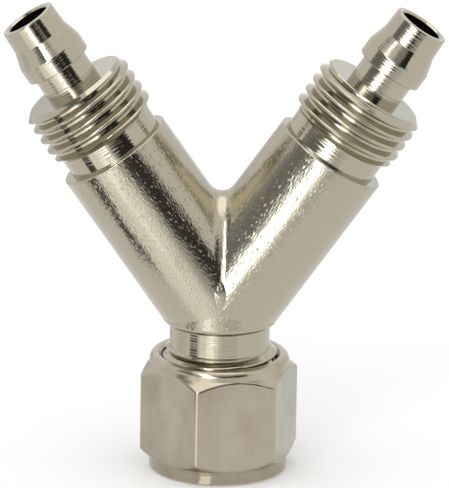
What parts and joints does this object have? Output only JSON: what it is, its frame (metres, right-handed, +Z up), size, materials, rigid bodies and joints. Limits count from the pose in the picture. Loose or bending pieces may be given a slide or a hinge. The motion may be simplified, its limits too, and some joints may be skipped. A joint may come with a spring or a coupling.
{
  "type": "push-in Y connector",
  "caption": "Y-shaped hose connector: two raised arms with screw threads and barbed nozzles, and a stem with a hexagon union nut that clamps a push-on hose.",
  "frame": {"origin": "centre of the nut's bottom face, on the stem's axis", "axes": "+Z up the stem towards the fork, the two arms lean to -X and +X in the XZ plane, and -Y faces the viewer of the picture"},
  "size_m": [0.0526, 0.0188, 0.0576],
  "materials": {
    "plated_body": "nickel-plated over a forged surface, turned bright on the threads and nozzles",
    "plated_nut": "nickel-plated over smooth machined flats"
  },
  "bodies": {
    "y_body": {"y_body": "plated_body"},
    "nut": {"union_nut": "plated_nut"}
  },
  "joints": [
    {"name": "nut_turn", "type": "hinge", "parent": "y_body", "child": "nut", "pos_m": [0, 0, 0], "axis": [0, 0, -1], "range_deg": [0, 1350]}
  ]
}
